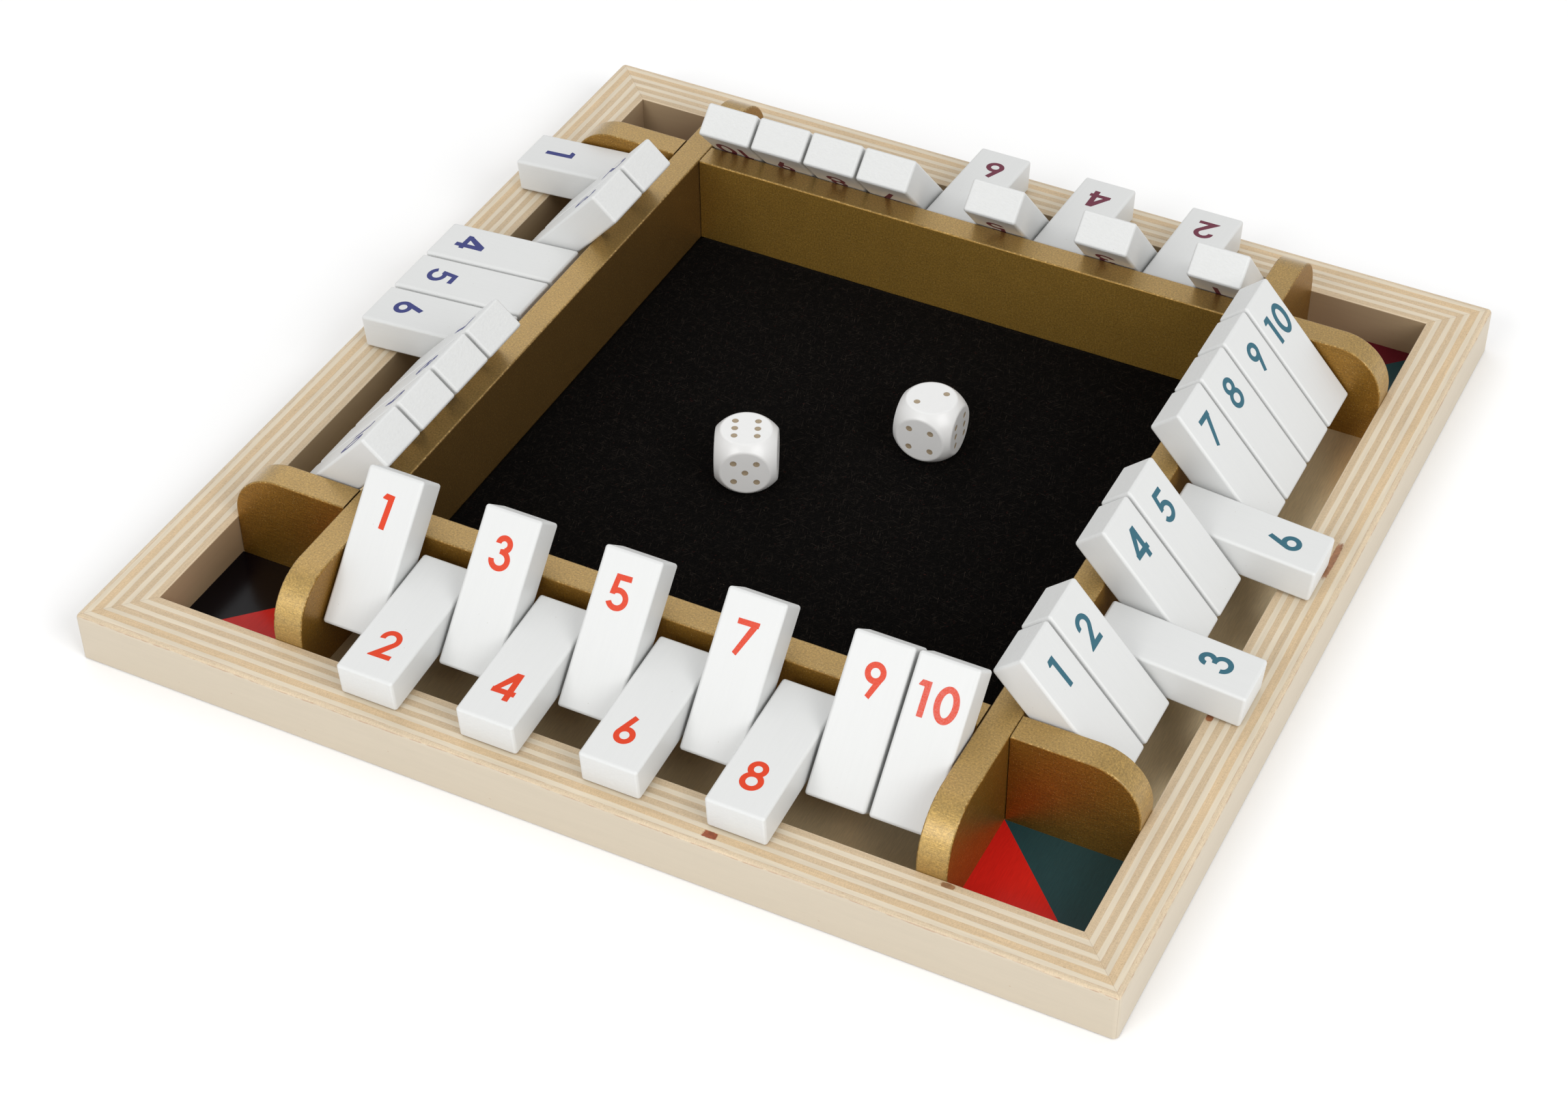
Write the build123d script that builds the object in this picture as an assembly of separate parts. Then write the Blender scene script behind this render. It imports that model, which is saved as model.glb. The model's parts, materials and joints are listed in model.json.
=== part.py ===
from build123d import *
import math
import os

# Four-sided shut-the-box game, in millimetres.
# +Z is up, +X runs to the right along the front rail and +Y runs to the back.
# The origin is the centre of the underside.
# Each side has ten numbered tiles on a hidden steel rod. A tile that is up leans inward on the
# tray wall, and a tile that is down lies outward on the plywood rail.

# ---- Driving dimensions -------------------------------------------------------------------

# Dice tray, in the middle.
TRAY_W = 166.0            # clear width and depth between the tray walls
WALL_T = 8.0              # thickness of every gold-painted wall
WALL_TOP = 30.0           # top of the walls above the table
WALL_END_R = 14.0         # large round at the upper outer end of a wall
WALL_EDGE_R = 0.5         # softened long edges of a wall
CHANNEL_W = 34.0          # clear width between a tray wall and the rail beside it

# Plywood frame and bottom board.
RAIL_W = 15.0
RAIL_H = 14.0
RAIL_CORNER_R = 1.4       # vertical corners of the frame
RAIL_OUTER_EDGE_R = 1.2   # top outer edge
RAIL_INNER_EDGE_R = 0.4   # top inner edge
REBATE_D = 6.0            # how far the bottom board reaches in under each rail
BOARD_T = 2.0

# Felt on the tray floor.
FELT_T = 2.0

# Numbered tiles.
TILE_COUNT = 10           # tiles on each side
TILE_T = 9.8
TILE_REACH = 29.2         # from the rod's axis to the free end
TILE_TAIL = 11.6          # from the rod's axis to the pivot end
TILE_EDGE_R = 0.8
PIVOT_RISE = 7.5          # rod's axis above the top of the rails

# Rods.
ROD_D = 3.0
ROD_CHAMFER = 0.3
SEAT_WALL = 3.0           # wood left behind the blind hole that holds a rod's end

# Dice.
DIE_SIZE = 16.8
DIE_SPHERE_D = 21.6       # sphere that rounds the corners of the cube
DIE_EDGE_R = 1.0          # where a flat side meets the sphere
PIP_D = 1.8
PIP_DEPTH = 0.25
PIP_PITCH = 3.05          # from the middle of a face to a row or column of pips

# Clearances.
TILE_GAP = 0.9            # between two neighbouring tiles
TAIL_CLEAR = 1.6          # between the swept pivot end of a tile and the tray wall
REST_CLEAR = 0.25         # between a tile and the wall or rail that it rests on
BORE_CLEAR = 0.08         # radial, rod in tile
SEAT_CLEAR = 0.02         # radial, rod end in wall
ROD_END_CLEAR = 0.2       # between a rod's end and the bottom of its hole
SEAM = 0.2                # open seam where a short wall meets a long one
BOARD_CLEAR = 0.2         # between the bottom board's edge and its rebate
FELT_CLEAR = 0.25         # between the felt's edge and the tray walls

# ---- How the game stands ------------------------------------------------------------------

# Sides in turning order, each a quarter turn on from the front one.
SIDES = ["front", "right", "back", "left"]

# Tiles that lie down on the rail, by their number. All others are up.
TILES_DOWN = {
    "front": ["02", "04", "06", "08"],
    "right": ["03", "06"],
    "back": ["02", "04", "06"],
    "left": ["01", "04", "05", "06"],
}

# Dice on the felt: centre in plan, turn about +Z and the number on each side of the cube.
DICE = {
    "die_left": {
        "at": (-20.5, -8.5), "turn": 24.0,
        "top": "six", "bottom": "one", "front": "five",
        "back": "two", "right": "three", "left": "four",
    },
    "die_right": {
        "at": (18.0, 25.0), "turn": 2.5,
        "top": "two", "bottom": "five", "front": "four",
        "back": "three", "right": "six", "left": "one",
    },
}

# ---- Derived sizes ------------------------------------------------------------------------

INNER = TRAY_W + 2 * (WALL_T + CHANNEL_W)     # opening of the frame
OUTER = INNER + 2 * RAIL_W
WALL_H = WALL_TOP - BOARD_T
WALL_MID = TRAY_W / 2 + WALL_T / 2            # mid-plane of each wall from the centre
WALL_OUTER_FACE = TRAY_W / 2 + WALL_T

TILE_PITCH = TRAY_W / TILE_COUNT
TILE_W = TILE_PITCH - TILE_GAP
TILE_L = TILE_REACH + TILE_TAIL

# The pivot keeps the tile's swept pivot end clear of the tray wall.
TAIL_SWEEP = math.hypot(TILE_TAIL, TILE_T / 2)
PIVOT_TO_WALL = TAIL_SWEEP + TAIL_CLEAR
PIVOT_FROM_CENTRE = WALL_OUTER_FACE + PIVOT_TO_WALL
PIVOT_Z = RAIL_H + PIVOT_RISE

ROD_SEAT = WALL_T - SEAT_WALL
ROD_L = TRAY_W + 2 * (ROD_SEAT - ROD_END_CLEAR)

FELT_TOP = BOARD_T + FELT_T


def angle_up():
    """Lean of a raised tile above the horizontal, where it meets the wall's rounded top edge."""
    edge_in = PIVOT_TO_WALL + WALL_EDGE_R
    edge_up = WALL_TOP - WALL_EDGE_R - PIVOT_Z
    stand_off = TILE_T / 2 + REST_CLEAR + WALL_EDGE_R
    turn_to_edge = math.atan2(edge_up, edge_in)
    return math.degrees(turn_to_edge + math.asin(stand_off / math.hypot(edge_in, edge_up)))


def angle_down():
    """Dip of a lowered tile below the horizontal, where its free end meets the rail's top."""
    corner_out = TILE_REACH - TILE_EDGE_R
    corner_down = TILE_T / 2 - TILE_EDGE_R
    drop = PIVOT_RISE - REST_CLEAR - TILE_EDGE_R
    turn_to_corner = math.atan2(corner_down, corner_out)
    return math.degrees(math.asin(drop / math.hypot(corner_out, corner_down)) - turn_to_corner)


TILE_UP_DEG = angle_up()
TILE_DOWN_DEG = 180 + angle_down()

# ---- Helpers ------------------------------------------------------------------------------


def block(length, width, low, high):
    """Box centred on Z, between two heights."""
    return Pos(0, 0, (low + high) / 2) * Box(length, width, high - low)


def side_turn(side):
    """Quarter turn that carries the front side onto the named side."""
    return Rot(0, 0, 90 * SIDES.index(side))


# ---- Plywood frame ------------------------------------------------------------------------


def whole_frame():
    """The four rails as one ring, with the rebate for the bottom board."""
    ring = block(OUTER, OUTER, 0, RAIL_H)
    ring = fillet(ring.edges().filter_by(Axis.Z), RAIL_CORNER_R)
    ring = fillet(ring.faces().sort_by(Axis.Z)[-1].edges(), RAIL_OUTER_EDGE_R)
    ring -= block(INNER, INNER, -1, RAIL_H + 1)
    inner_rim = [e for e in ring.faces().sort_by(Axis.Z)[-1].edges()
                 if max(abs(e.center().X), abs(e.center().Y)) < INNER / 2 + 0.01]
    ring = fillet(inner_rim, RAIL_INNER_EDGE_R)
    rebate = INNER + 2 * REBATE_D
    return ring - block(rebate, rebate, -1, BOARD_T)


def mitre_sector():
    """Wedge from the centre that holds the front rail between its two mitre cuts."""
    reach = OUTER
    outline = Polyline((0, 0), (reach, -reach), (-reach, -reach), close=True)
    return extrude(make_face(outline), RAIL_H + 2)


def rails():
    ring = whole_frame()
    return {f"{side}_rail": ring & (side_turn(side) * mitre_sector()) for side in SIDES}


def bottom_board():
    width = INNER + 2 * (REBATE_D - BOARD_CLEAR)
    return block(width, width, 0, BOARD_T)


# ---- Walls --------------------------------------------------------------------------------


def wall_blank(length, round_ends):
    """Wall along X, standing on the bottom board, with as many rounded ends as asked for."""
    wall = block(length, WALL_T, BOARD_T, WALL_TOP)
    if round_ends:
        corners = wall.edges().filter_by(Axis.Y).group_by(Axis.Z)[-1].sort_by(Axis.X)
        wall = fillet(corners[-round_ends:], WALL_END_R)
    crown = wall.faces().filter_by(Axis.Y).edges()
    crown = [e for e in crown if e.center().Z > BOARD_T + 0.01]
    butt_ends = 2 - round_ends
    if butt_ends:
        butt_x = length / 2 - 0.01
        crown = [e for e in crown if e.center().X > -butt_x]
    if butt_ends == 2:
        crown = [e for e in crown if e.center().X < butt_x]
    return fillet(crown, WALL_EDGE_R)


def rod_seat(at, out):
    """Blind hole for a rod's end: it starts at a point on the wall's face and runs along out."""
    mouth = Plane(origin=at, z_dir=out)
    return mouth * Pos(0, 0, ROD_SEAT / 2) * Cylinder(ROD_D / 2 + SEAT_CLEAR, ROD_SEAT)


def long_walls():
    """The left and right tray walls, which run right through from the front to the back rail."""
    blank = Rot(0, 0, 90) * wall_blank(INNER, 2)
    walls = {}
    for name, sign in (("left_tray_wall", -1), ("right_tray_wall", 1)):
        wall = Pos(sign * WALL_MID, 0, 0) * blank
        for y in (-PIVOT_FROM_CENTRE, PIVOT_FROM_CENTRE):
            wall -= rod_seat((sign * TRAY_W / 2, y, PIVOT_Z), (sign, 0, 0))
        walls[name] = wall
    return walls


def cross_walls():
    """The front and back tray walls, set between the two long ones."""
    blank = wall_blank(TRAY_W - 2 * SEAM, 0)
    return {
        "front_tray_wall": Pos(0, -WALL_MID, 0) * blank,
        "back_tray_wall": Pos(0, WALL_MID, 0) * blank,
    }


def partitions():
    """Short walls from the long ones to the side rails, which close off the four corners."""
    length = CHANNEL_W - SEAM
    middle = INNER / 2 - length / 2
    blank = wall_blank(length, 1)
    walls = {}
    for side, sign_x in (("left", -1), ("right", 1)):
        for end, sign_y in (("front", -1), ("back", 1)):
            turned = blank if sign_x > 0 else Rot(0, 0, 180) * blank
            wall = Pos(sign_x * middle, sign_y * WALL_MID, 0) * turned
            seat_at = (sign_x * PIVOT_FROM_CENTRE, sign_y * TRAY_W / 2, PIVOT_Z)
            walls[f"{end}_{side}_partition"] = wall - rod_seat(seat_at, (0, sign_y, 0))
    return walls


# ---- Felt, rods, tiles and dice -----------------------------------------------------------


def felt():
    width = TRAY_W - 2 * FELT_CLEAR
    return block(width, width, BOARD_T, FELT_TOP)


def rods():
    rod = Rot(0, 90, 0) * Cylinder(ROD_D / 2, ROD_L)
    rod = chamfer(rod.edges().filter_by(GeomType.CIRCLE), ROD_CHAMFER)
    front = Pos(0, -PIVOT_FROM_CENTRE, PIVOT_Z) * rod
    return {f"{side}_rod": side_turn(side) * front for side in SIDES}


def tile_blank():
    """Tile with its rod bore on the X axis and its free end towards +Y."""
    tile = Pos(0, (TILE_REACH - TILE_TAIL) / 2, 0) * Box(TILE_W, TILE_L, TILE_T)
    tile = fillet(tile.edges(), TILE_EDGE_R)
    return tile - Rot(0, 90, 0) * Cylinder(ROD_D / 2 + BORE_CLEAR, TILE_W + 2)


def tiles():
    """Ten tiles on each side, numbered from the left as that side's player sees them."""
    blank = tile_blank()
    placed = {}
    for side in SIDES:
        for place in range(TILE_COUNT):
            number = f"{place + 1:02d}"
            lean = TILE_DOWN_DEG if number in TILES_DOWN[side] else TILE_UP_DEG
            x = (place - (TILE_COUNT - 1) / 2) * TILE_PITCH
            in_row = Pos(x, -PIVOT_FROM_CENTRE, PIVOT_Z) * Rot(lean, 0, 0)
            placed[f"{side}_tile_{number}"] = side_turn(side) * in_row * blank
    return placed


# Pips of each number, in steps of PIP_PITCH across and up the face.
PIPS = {
    "one": [(0, 0)],
    "two": [(-1, -1), (1, 1)],
    "three": [(-1, -1), (0, 0), (1, 1)],
    "four": [(-1, -1), (-1, 1), (1, -1), (1, 1)],
    "five": [(-1, -1), (-1, 1), (0, 0), (1, -1), (1, 1)],
    "six": [(-1, -1), (-1, 0), (-1, 1), (1, -1), (1, 0), (1, 1)],
}

# Outward normal and across direction of each side of a die.
DIE_FACES = {
    "top": ((0, 0, 1), (1, 0, 0)),
    "bottom": ((0, 0, -1), (1, 0, 0)),
    "front": ((0, -1, 0), (1, 0, 0)),
    "back": ((0, 1, 0), (-1, 0, 0)),
    "right": ((1, 0, 0), (0, 1, 0)),
    "left": ((-1, 0, 0), (0, -1, 0)),
}


def die(numbers):
    """Cube rounded by a sphere, with the shallow pips of each side sunk into it."""
    body = Box(DIE_SIZE, DIE_SIZE, DIE_SIZE) & Sphere(DIE_SPHERE_D / 2)
    body = fillet(body.edges(), DIE_EDGE_R)
    for side, (out, across) in DIE_FACES.items():
        face = Plane(origin=Vector(*out) * (DIE_SIZE / 2), x_dir=across, z_dir=out)
        for u, v in PIPS[numbers[side]]:
            body -= face * Pos(u * PIP_PITCH, v * PIP_PITCH, 0) * Cylinder(PIP_D / 2, 2 * PIP_DEPTH)
    return body


def dice():
    placed = {}
    for name, pose in DICE.items():
        x, y = pose["at"]
        placed[name] = Pos(x, y, FELT_TOP + DIE_SIZE / 2) * Rot(0, 0, pose["turn"]) * die(pose)
    return placed


# ---- Whole game ---------------------------------------------------------------------------

parts = {
    **rails(),
    "bottom_board": bottom_board(),
    **long_walls(),
    **cross_walls(),
    **partitions(),
    "tray_felt": felt(),
    **rods(),
    **tiles(),
    **dice(),
}

os.makedirs("parts", exist_ok=True)
for name, shape in parts.items():
    export_step(shape, f"parts/{name}.step")

print(f"{len(parts)} parts, {OUTER:g} mm square")
print(f"tile {TILE_W:g} x {TILE_L:g} x {TILE_T:g}")
print(f"pivot at {PIVOT_FROM_CENTRE:.4f} from the centre, {PIVOT_Z:g} high")
print(f"tile up at {TILE_UP_DEG:.4f} deg, down at {TILE_DOWN_DEG:.4f} deg, swing "
      f"{TILE_DOWN_DEG - TILE_UP_DEG:.4f} deg")
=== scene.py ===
# %% [markdown]
# # A four-player shut the box game
#
# Four rows of ten numbered tiles stand round a felt tray for dice. A player throws the dice and
# folds tiles of the same total down on the plywood rail. The solids of the game come from its
# CAD frame and stay as they are. This file gives every surface its finish, prints the numbers,
# lays the felt, colours the pips of the dice, and sets up the floor, the lights and the camera.

# %% Load the frame
import json
import math
import random

import bpy
from mathutils import Matrix, Vector


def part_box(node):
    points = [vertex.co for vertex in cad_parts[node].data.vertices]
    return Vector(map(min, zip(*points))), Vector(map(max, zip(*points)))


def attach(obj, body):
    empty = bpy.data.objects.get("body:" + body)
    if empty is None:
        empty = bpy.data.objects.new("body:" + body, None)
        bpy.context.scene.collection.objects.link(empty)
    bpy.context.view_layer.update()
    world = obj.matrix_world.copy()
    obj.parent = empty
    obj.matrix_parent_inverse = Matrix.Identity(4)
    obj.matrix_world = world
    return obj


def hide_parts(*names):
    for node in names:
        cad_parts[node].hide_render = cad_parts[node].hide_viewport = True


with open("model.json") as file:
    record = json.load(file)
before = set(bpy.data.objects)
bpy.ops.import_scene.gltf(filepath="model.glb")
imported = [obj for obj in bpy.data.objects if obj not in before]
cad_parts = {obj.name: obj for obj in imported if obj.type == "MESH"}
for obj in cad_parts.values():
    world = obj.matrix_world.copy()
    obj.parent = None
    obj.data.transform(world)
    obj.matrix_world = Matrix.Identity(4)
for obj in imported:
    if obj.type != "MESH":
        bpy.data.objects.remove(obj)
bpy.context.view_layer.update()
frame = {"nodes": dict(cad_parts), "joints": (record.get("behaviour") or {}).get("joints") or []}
cad_nodes = frame["nodes"]
MM = 0.001

# %% [markdown]
# ## Camera
#
# A camera that is fitted to a photograph has four things to settle: how long the lens is, where
# it stands, where it looks, and how far the picture was cropped off-centre. The last one is the
# lens shift. This camera looks down across the front right corner of the game.

# %% Camera
PHOTO_WIDTH = 2296
PHOTO_HEIGHT = 1615
FOCAL_PIXELS = 4460.2
LENS_AXIS_PIXEL = (1339.9, 828.3)
SENSOR_WIDTH = 36.0
CAMERA_PLACE = Vector((0.271185, -0.557014, 0.533748))
CAMERA_AZIMUTH = 23.794
CAMERA_ELEVATION = 42.107
CAMERA_ROLL = 1.722
NEAREST_SEEN = 0.01


def add_camera():
    camera_data = bpy.data.cameras.new("camera")
    camera_data.sensor_fit = "HORIZONTAL"
    camera_data.sensor_width = SENSOR_WIDTH
    camera_data.lens = FOCAL_PIXELS / PHOTO_WIDTH * SENSOR_WIDTH
    camera_data.shift_x = (PHOTO_WIDTH / 2 - LENS_AXIS_PIXEL[0]) / PHOTO_WIDTH
    camera_data.shift_y = (LENS_AXIS_PIXEL[1] - PHOTO_HEIGHT / 2) / PHOTO_WIDTH
    camera_data.clip_start = NEAREST_SEEN
    camera = bpy.data.objects.new("camera", camera_data)
    bpy.context.scene.collection.objects.link(camera)
    turn = Matrix.Rotation(math.radians(CAMERA_AZIMUTH), 4, "Z")
    tilt = Matrix.Rotation(math.radians(90 - CAMERA_ELEVATION), 4, "X")
    roll = Matrix.Rotation(math.radians(CAMERA_ROLL), 4, "Z")
    camera.matrix_world = Matrix.Translation(CAMERA_PLACE) @ turn @ tilt @ roll
    bpy.context.scene.camera = camera
    return camera


camera = add_camera()
print(f"lens {camera.data.lens:.1f} mm at {tuple(round(c, 3) for c in camera.location)}")

# %% [markdown]
# ## Floor and light
#
# The picture has a plain white ground and soft light all round. The main light stands at the
# right, a second one in front puts the bright streaks on the rounded gold ends, a weak one
# behind fills the shadows, and a bright world does what the white walls of a studio do.

# %% Floor and light
FLOOR_SIZE = 26.0
FLOOR_DROP = 0.0003
PAPER_WHITE = (0.93, 0.93, 0.93, 1)
# Each lamp's place and the side of its square in metres, and its power in watts.
LAMPS = {
    "key_light": ((2.0, -0.8, 1.5), 1.5, 31.0),
    "front_light": ((-0.75, -2.8, 1.8), 1.5, 35.0),
    "fill_light": ((-1.3, 1.0, 1.9), 1.8, 7.0),
}
WORLD_STRENGTH = 0.7


def add_area_light(name, place, size, power):
    light_data = bpy.data.lights.new(name, "AREA")
    light_data.size = size
    light_data.energy = power
    light = bpy.data.objects.new(name, light_data)
    bpy.context.scene.collection.objects.link(light)
    light.location = place
    light.rotation_euler = (-Vector(place)).to_track_quat("-Z", "Y").to_euler()


def add_floor():
    bpy.ops.mesh.primitive_plane_add(size=FLOOR_SIZE, location=(0, 0, -FLOOR_DROP))
    floor = bpy.context.object
    floor.name = "floor"
    paper = bpy.data.materials.new("studio_paper")
    paper.use_nodes = True
    surface = paper.node_tree.nodes["Principled BSDF"]
    surface.inputs["Base Color"].default_value = PAPER_WHITE
    surface.inputs["Roughness"].default_value = 0.9
    floor.data.materials.append(paper)


def light_the_world():
    world = bpy.data.worlds.new("studio")
    world.use_nodes = True
    background = world.node_tree.nodes["Background"]
    background.inputs["Color"].default_value = (1, 1, 1, 1)
    background.inputs["Strength"].default_value = WORLD_STRENGTH
    bpy.context.scene.world = world


add_floor()
for lamp, (place, size, power) in LAMPS.items():
    add_area_light(lamp, place, size, power)
light_the_world()
bpy.context.scene.view_settings.view_transform = "Standard"
print("floor, a bright world and", ", ".join(LAMPS))

# %% [markdown]
# ## Small helpers for materials
#
# A procedural material is a net of small nodes, and wiring them one by one hides what the net
# does. These helpers add a node with its inputs in one line, so that the code below reads like a
# recipe. Every pattern reads Object coordinates in millimetres: the solids all lie in the game's
# own frame, so a pattern can follow the real places of rails, walls and floors.

# %% Helpers for materials


def feed(sockets, values):
    """Sets each socket to its value, or links it if the value is itself a socket."""
    for key, value in values.items():
        if isinstance(value, bpy.types.NodeSocket):
            sockets[key].id_data.links.new(value, sockets[key])
        else:
            sockets[key].default_value = value


def add(tree, kind, inputs=None, **settings):
    """Adds a node. Each input is a value or the socket that feeds it."""
    made = tree.nodes.new(kind)
    for key, value in settings.items():
        setattr(made, key, value)
    feed(made.inputs, inputs or {})
    return made


def calc(tree, operation, *values, clamp=False):
    """One step of arithmetic on numbers or sockets."""
    inputs = dict(enumerate(values))
    return add(tree, "ShaderNodeMath", inputs, operation=operation, use_clamp=clamp).outputs[0]


def times(tree, first, second):
    return calc(tree, "MULTIPLY", first, second)


def absolute(tree, value):
    return calc(tree, "ABSOLUTE", value)


def vector_calc(tree, operation, inputs):
    """One step of arithmetic on vectors."""
    return add(tree, "ShaderNodeVectorMath", inputs, operation=operation).outputs[0]


def step_between(tree, value, low, high):
    """0 below low, 1 above high, and smooth between them."""
    inputs = {"Value": value, "From Min": low, "From Max": high}
    return add(tree, "ShaderNodeMapRange", inputs, interpolation_type="SMOOTHSTEP").outputs[0]


def mix(tree, factor, first, second):
    """The first number where the factor is 0, the second where it is 1."""
    return add(tree, "ShaderNodeMix", {0: factor, 2: first, 3: second}).outputs[0]


def blend_colors(tree, factor, first, second):
    inputs = {0: factor, 6: first, 7: second}
    return add(tree, "ShaderNodeMix", inputs, data_type="RGBA").outputs[2]


def lay_over(tree, color, mask, strength, top_color):
    """Lays one colour over another where the mask is, as thickly as the strength says."""
    return blend_colors(tree, times(tree, mask, strength), color, top_color)


def shade(tree, color, value):
    """The colour times a brightness."""
    if isinstance(color, tuple):
        color = color[:3]
    return vector_calc(tree, "SCALE", {0: color, "Scale": value})


def place_in_mm(tree):
    """Object coordinates in millimetres."""
    place = add(tree, "ShaderNodeTexCoord").outputs["Object"]
    return vector_calc(tree, "SCALE", {0: place, "Scale": 1 / MM})


def split(tree, vector):
    """The three numbers of a vector."""
    return add(tree, "ShaderNodeSeparateXYZ", {0: vector}).outputs


def split_place(tree, place):
    """The three numbers of a place, and how far it is from the middle along x and along y."""
    axes = split(tree, place)
    return axes, absolute(tree, axes[0]), absolute(tree, axes[1])


def own_normal(tree):
    """The way the surface faces, seen from the object itself."""
    return add(tree, "ShaderNodeTexCoord").outputs["Normal"]


def turned(tree, vector, turn):
    return add(tree, "ShaderNodeMapping", {"Vector": vector, "Rotation": turn}).outputs[0]


def stretched(tree, place, stretch, turn=(0, 0, 0)):
    """The place, turned and then stretched, for a pattern with a direction."""
    return vector_calc(tree, "MULTIPLY", {0: turned(tree, place, turn), 1: stretch})


def noise(tree, place, scale=1.0, **inputs):
    """Clouds between 0 and 1."""
    inputs = {"Vector": place, "Scale": scale, **inputs}
    return add(tree, "ShaderNodeTexNoise", inputs).outputs["Fac"]


def rgb(red, green, blue):
    """A colour as a screen counts it, 0 to 255, turned into the linear one a shader needs."""
    def linear(level):
        share = level / 255
        return share / 12.92 if share <= 0.04045 else ((share + 0.055) / 1.055) ** 2.4
    return (linear(red), linear(green), linear(blue), 1)


def new_material(name):
    """A material with its node tree, the place in millimetres and the shader."""
    material = bpy.data.materials.new(name)
    material.use_nodes = True
    tree = material.node_tree
    return material, tree, place_in_mm(tree), tree.nodes["Principled BSDF"]


def wire(surface, **sockets):
    """Feeds the shader: Base_Color=..., Roughness=..., Normal=... and so on."""
    feed(surface.inputs, {key.replace("_", " "): value for key, value in sockets.items()})


def bump(tree, height, distance, strength=1.0):
    inputs = {"Height": height, "Distance": distance * MM, "Strength": strength}
    return add(tree, "ShaderNodeBump", inputs).outputs[0]


print("material helpers ready")

# %% [markdown]
# ## Shared effects: grain, flecks and knots
#
# Wood, brushed paint and the print on the tiles all need a streaky noise, and felt, gold and
# painted floors all carry small flecks. Such an effect is built once as a node group with named
# inputs, like a tool that each material picks up and sets its own way.

# %% Shared effects
VECTOR_INPUTS = {"Place", "Centre", "Size"}
KNOT_SQUARENESS = 0.6


def new_group(name, inputs, output):
    """A node group with number or vector inputs and one number output."""
    group = bpy.data.node_groups.new(name, "ShaderNodeTree")
    for socket_name in inputs:
        kind = "NodeSocketVector" if socket_name in VECTOR_INPUTS else "NodeSocketFloat"
        group.interface.new_socket(socket_name, in_out="INPUT", socket_type=kind)
    group.interface.new_socket(output, in_out="OUTPUT", socket_type="NodeSocketFloat")
    given = group.nodes.new("NodeGroupInput").outputs
    result = group.nodes.new("NodeGroupOutput").inputs[output]
    return group, given, result


def make_grain_group():
    """Noise round 1, for multiplying a colour or a roughness."""
    inputs = ("Place", "Scale", "Detail", "Strength")
    group, given, result = new_group("grain", inputs, "Shade")
    clouds = noise(group, given["Place"], given["Scale"], Detail=given["Detail"], Roughness=0.6)
    swing = calc(group, "SUBTRACT", clouds, 0.5)
    group.links.new(calc(group, "MULTIPLY_ADD", swing, given["Strength"], 1.0), result)
    return group


def make_fleck_group():
    """1 inside small scattered specks, 0 elsewhere. Amount is the share of cells with one."""
    inputs = ("Place", "Scale", "Radius", "Amount")
    group, given, result = new_group("flecks", inputs, "Mask")
    cells = add(group, "ShaderNodeTexVoronoi", {"Vector": given["Place"], "Scale": given["Scale"]})
    close = calc(group, "LESS_THAN", cells.outputs["Distance"], given["Radius"])
    draw = add(group, "ShaderNodeSeparateColor", {"Color": cells.outputs["Color"]}).outputs[0]
    chosen = calc(group, "LESS_THAN", draw, given["Amount"])
    group.links.new(times(group, close, chosen), result)
    return group


def make_knot_group():
    """1 inside a ragged patch round Centre, between an oval and a box. Size is half its extent."""
    group, given, result = new_group("knot", ("Place", "Centre", "Size"), "Mask")
    offset = vector_calc(group, "SUBTRACT", {0: given["Place"], 1: given["Centre"]})
    share = vector_calc(group, "DIVIDE", {0: offset, 1: given["Size"]})
    length = add(group, "ShaderNodeVectorMath", {0: share}, operation="LENGTH")
    sides = split(group, vector_calc(group, "ABSOLUTE", {0: share}))
    box_reach = calc(group, "MAXIMUM", sides[0], sides[1])
    reach = mix(group, KNOT_SQUARENESS, length.outputs["Value"], box_reach)
    ragged = noise(group, given["Place"], 1.4)
    reach = calc(group, "MULTIPLY_ADD", ragged, 0.5, reach)
    group.links.new(step_between(group, reach, 1.35, 1.1), result)
    return group


GRAIN = make_grain_group()
FLECKS = make_fleck_group()
KNOT = make_knot_group()


def use(tree, group, **inputs):
    """Places a shared effect in a material and returns its output."""
    return add(tree, "ShaderNodeGroup", inputs, node_tree=group).outputs[0]


def grain_noise(tree, place, stretch=None, scale=1.0, detail=4.0, strength=1.0):
    """The shared grain, drawn out along an axis if it has a stretch."""
    place = stretched(tree, place, stretch) if stretch else place
    return use(tree, GRAIN, Place=place, Scale=scale, Detail=detail, Strength=strength)


def fleck_mask(tree, place, stretch=None, turn=(0, 0, 0), scale=1.0, radius=0.1, amount=0.3):
    """The shared flecks, drawn out along a turned axis if they have a stretch."""
    place = stretched(tree, place, stretch, turn) if stretch else place
    return use(tree, FLECKS, Place=place, Scale=scale, Radius=radius, Amount=amount)


print("shared effects:", [group.name for group in (GRAIN, FLECKS, KNOT)])

# %% [markdown]
# ## Plywood rails
#
# Each rail is a strip of 15 mm plywood on its edge, so its eleven plies show on top as stripes.
# Pale plies run along the rail, and the tan ones between them show their end grain. The stripes
# turn the corner at the mitres. One rule gives all of that: the larger of |x| and |y| is how far
# a point is from the centre, and it is the same on both sides of a mitre. A ramp over that
# distance colours the plies, a second one tells pale plies from tan ones, and thin lines of glue
# are laid over it where two plies meet.

# %% Plywood
OPENING_HALF = 125.0
RAIL_WIDTH = 15.0
INNER_VENEER = rgb(212, 193, 163)
TAN = rgb(194, 172, 140)
WARM_TAN = rgb(200, 175, 139)
PALE = rgb(209, 196, 173)
OUTER_TAN = rgb(203, 184, 155)
OUTER_VENEER = rgb(196, 184, 164)
# The veneer of the inner faces, painted darker as shade.
INNER_FACE_SHADE = rgb(170, 147, 116)
PORE_BROWN = rgb(150, 116, 84)
GLUE_BROWN = rgb(164, 124, 96)
SPECK_BROWN = rgb(170, 130, 96)
MITRE_BROWN = rgb(120, 90, 62)
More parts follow.
